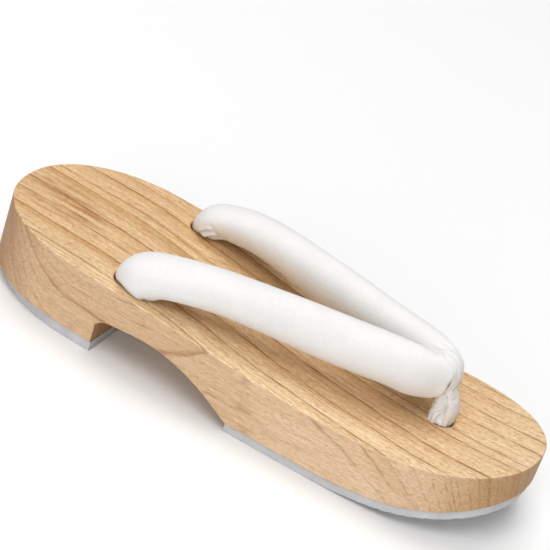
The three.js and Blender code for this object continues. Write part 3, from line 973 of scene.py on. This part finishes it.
def heel_flame(finish, x, y):
    off_x = finish.math("DIVIDE", finish.minus(x, FLAME_X), FLAME_LONG)
    off_y = finish.math("DIVIDE", finish.minus(y, FLAME_Y), FLAME_BROAD)
    off = finish.plus(finish.times(off_x, off_x), finish.times(off_y, off_y))
    streaks = finish.ease(finish.noise(FLAME_SIZES, detail=3.0, rough=0.6), *FLAME_STREAKS)
    return finish.times(finish.ease(off, *FLAME_FADE), finish.times(streaks, FLAME_SHARE))


def wood_finish():
    finish = Finish("pale_wood")
    x, y, z = finish.parts(finish.place)
    facing = finish.parts(finish.nodes.new("ShaderNodeNewGeometry").outputs["Normal"])
    on_top = finish.ease(facing[2], *TOP_FACING)
    at_end = finish.ease(finish.math("ABSOLUTE", facing[0]), *END_FACING)
    count = ring_count(finish, ring_place(finish, x, y, z, on_top))
    tone = ring_tone(finish, x, y, count, on_top)
    tone = finish.mix(finish.times(heel_flame(finish, x, y), on_top), tone, WOOD_BROWN)

    # Fibres from broad to fine make the tone lighter and darker, with pores among them
    gain = 0.0
    for along, broad, depth in WOOD_FIBRES:
        fibres = finish.noise((along, broad, broad), detail=3.0, rough=0.6)
        gain = finish.plus(gain, finish.times(finish.minus(fibres, 0.5), depth))
    calmer = finish.least(on_top, FIBRE_SIDES)
    gain = finish.plus(finish.times(gain, calmer), 1.0)
    pores = finish.ramp(finish.noise(PORE_SIZES), PORES)
    tone = finish.mix(finish.times(pores, calmer), tone, WOOD_BROWN)
    hues = [finish.math("POWER", gain, strength) for strength in FIBRE_HUES]
    tone = finish.vector("MULTIPLY", tone, finish.together(*hues))

    # Ends and breast get painted shade, partly their end grain's own darker tone
    ends = finish.mix(finish.ease(x, *END_CHANGE), TOE_END_GRAIN_AND_SHADE, HEEL_END_GRAIN_AND_SHADE)
    # The sides get their sawn finish's tone together with painted light and shade
    sides = finish.mix(finish.ease(x, *SIDE_CHANGE), FORE_SIDE_TONE_AND_LIGHT, REAR_SIDE_TONE_AND_SHADE)
    tint = finish.mix(on_top, finish.mix(at_end, sides, ends), NO_TINT)
    grain = finish.bump(fibres, *GRAIN_BUMP)
    finish.set(
        Base_Color=finish.vector("MULTIPLY", tone, tint),
        Roughness=finish.ramp(fibres, WOOD_ROUGHNESS),
        Specular_IOR_Level=0.3,
        Normal=finish.bump(finish.minus(1.0, pores), *PORE_BUMP, grain),
    )
    return finish.material


def rubber_finish():
    finish = Finish("grey_rubber")
    mottle = finish.noise(MOTTLE_SIZES, detail=3.0, rough=0.6)
    speck = finish.noise(SPECK_SIZES, detail=2.0, rough=0.6)
    tone = finish.ramp(mottle, RUBBER_TONES)
    finish.set(
        Base_Color=finish.mix(finish.ramp(speck, SPECK_SHARE), tone, RUBBER_SPECK),
        Roughness=finish.ramp(mottle, RUBBER_ROUGHNESS),
        Specular_IOR_Level=0.4,
        Normal=finish.bump(speck, *SPECK_BUMP),
    )
    return finish.material


def fabric_finish():
    finish = Finish("white_fabric")
    x, y, z = finish.parts(finish.place)
    weave = 2 * math.pi / THREAD_PITCH
    one = finish.math("SINE", finish.times(finish.plus(x, z), weave))
    two = finish.math("SINE", finish.times(finish.minus(y, z), weave))
    crepe = finish.noise(CREPE_SIZES, detail=3.0, rough=0.65)
    tone = finish.ramp(finish.noise(CLOUD_SIZES), FABRIC_TONES)
    threads = finish.bump(finish.times(one, two), *THREAD_BUMP)
    finish.set(
        # Painted shade in the crinkles' hollows
        Base_Color=finish.mix(finish.ramp(crepe, HOLLOW_SHADE_SHARE), tone, FABRIC_HOLLOW_SHADE),
        Roughness=finish.ramp(crepe, FABRIC_ROUGHNESS),
        Specular_IOR_Level=0.25,
        Sheen_Weight=0.15,
        Sheen_Roughness=0.5,
        Normal=finish.bump(crepe, *CREPE_BUMP, threads),
    )
    return finish.material


def floor_finish():
    finish = Finish("pale_floor")
    tone = finish.ramp(finish.noise(FLOOR_SIZES, detail=1.0), FLOOR_TONES)
    finish.set(Base_Color=tone, Roughness=0.9, Specular_IOR_Level=0.1)
    return finish.material


def settle(piece, node, material):
    piece.data.materials.clear()
    piece.data.materials.append(material)
    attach(piece, "root")
    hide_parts(node)


def make_lamp(name, place, size, power):
    light = bpy.data.lights.new(name, "AREA")
    light.shape = "DISK"
    light.size = size
    light.energy = power
    lamp = bpy.data.objects.new(name, light)
    lamp.location = place
    aim = Vector(LAMP_TARGET) - Vector(place)
    lamp.rotation_euler = aim.to_track_quat("-Z", "Y").to_euler()
    bpy.context.scene.collection.objects.link(lamp)


def make_camera():
    azimuth, elevation, roll = (math.radians(a) for a in (CAMERA_AZIMUTH, CAMERA_ELEVATION, CAMERA_ROLL))
    level = math.cos(elevation)
    back = Vector((math.sin(azimuth) * level, -math.cos(azimuth) * level, math.sin(elevation)))
    right = Vector((0, 0, 1)).cross(back).normalized()
    up = back.cross(right)
    axes = (
        right * math.cos(roll) + up * math.sin(roll),
        up * math.cos(roll) - right * math.sin(roll),
        back,
    )
    data = bpy.data.cameras.new("camera")
    data.sensor_width = SENSOR
    data.lens = CAMERA_LENS
    data.clip_start, data.clip_end = CAMERA_CLIP
    camera = bpy.data.objects.new("camera", data)
    place = (Vector(CAMERA_TARGET) + back * CAMERA_DISTANCE) * MM
    turn = Matrix(axes).transposed().to_4x4()
    camera.matrix_world = Matrix.Translation(place) @ turn
    bpy.context.scene.collection.objects.link(camera)
    bpy.context.scene.camera = camera


def make_stage():
    mesh = bpy.data.meshes.new("floor")
    corners = [(x * FLOOR_REACH, y * FLOOR_REACH, 0) for x, y in ((-1, -1), (1, -1), (1, 1), (-1, 1))]
    mesh.from_pydata(corners, [], [(0, 1, 2, 3)])
    floor = bpy.data.objects.new("floor", mesh)
    bpy.context.scene.collection.objects.link(floor)
    mesh.materials.append(floor_finish())
    world = bpy.data.worlds.new("studio")
    world.use_nodes = True
    world.node_tree.nodes["Background"].inputs["Color"].default_value = WHITE
    world.node_tree.nodes["Background"].inputs["Strength"].default_value = SKY
    bpy.context.scene.world = world
    for lamp in LAMPS:
        make_lamp(*lamp)
    bpy.context.scene.view_settings.view_transform = "Standard"


make_camera()
make_stage()

board = make_board()
heel_pad = make_pad(
    "heel_pad_rubber",
    end_spaced(BREAST_X, HEEL_PAD_INSET["heel"] - LENGTH / 2, HEEL_PAD_STEPS),
    HEEL_PAD_INSET,
    lambda x: np.full_like(x, HEEL_PAD_THICK),
    np.zeros_like,
)
forefoot_pad = make_pad(
    "forefoot_pad_rubber",
    end_spaced(LENGTH / 2 - FOREFOOT_PAD_INSET["toe"], FOREFOOT_PAD_BACK, FOREFOOT_PAD_STEPS),
    FOREFOOT_PAD_INSET,
    lambda x: rocker(x, FOREFOOT_PAD_THICK),
    lambda x: rocker(x, 0.0),
)
straps = make_straps()
toe_loop = make_toe_loop()

rubber, fabric = rubber_finish(), fabric_finish()
settle(board, "base_board", wood_finish())
settle(heel_pad, "heel_pad", rubber)
settle(forefoot_pad, "forefoot_pad", rubber)
settle(straps, "strap_upper", fabric)
settle(toe_loop, "toe_loop", fabric)

bpy.context.view_layer.update()
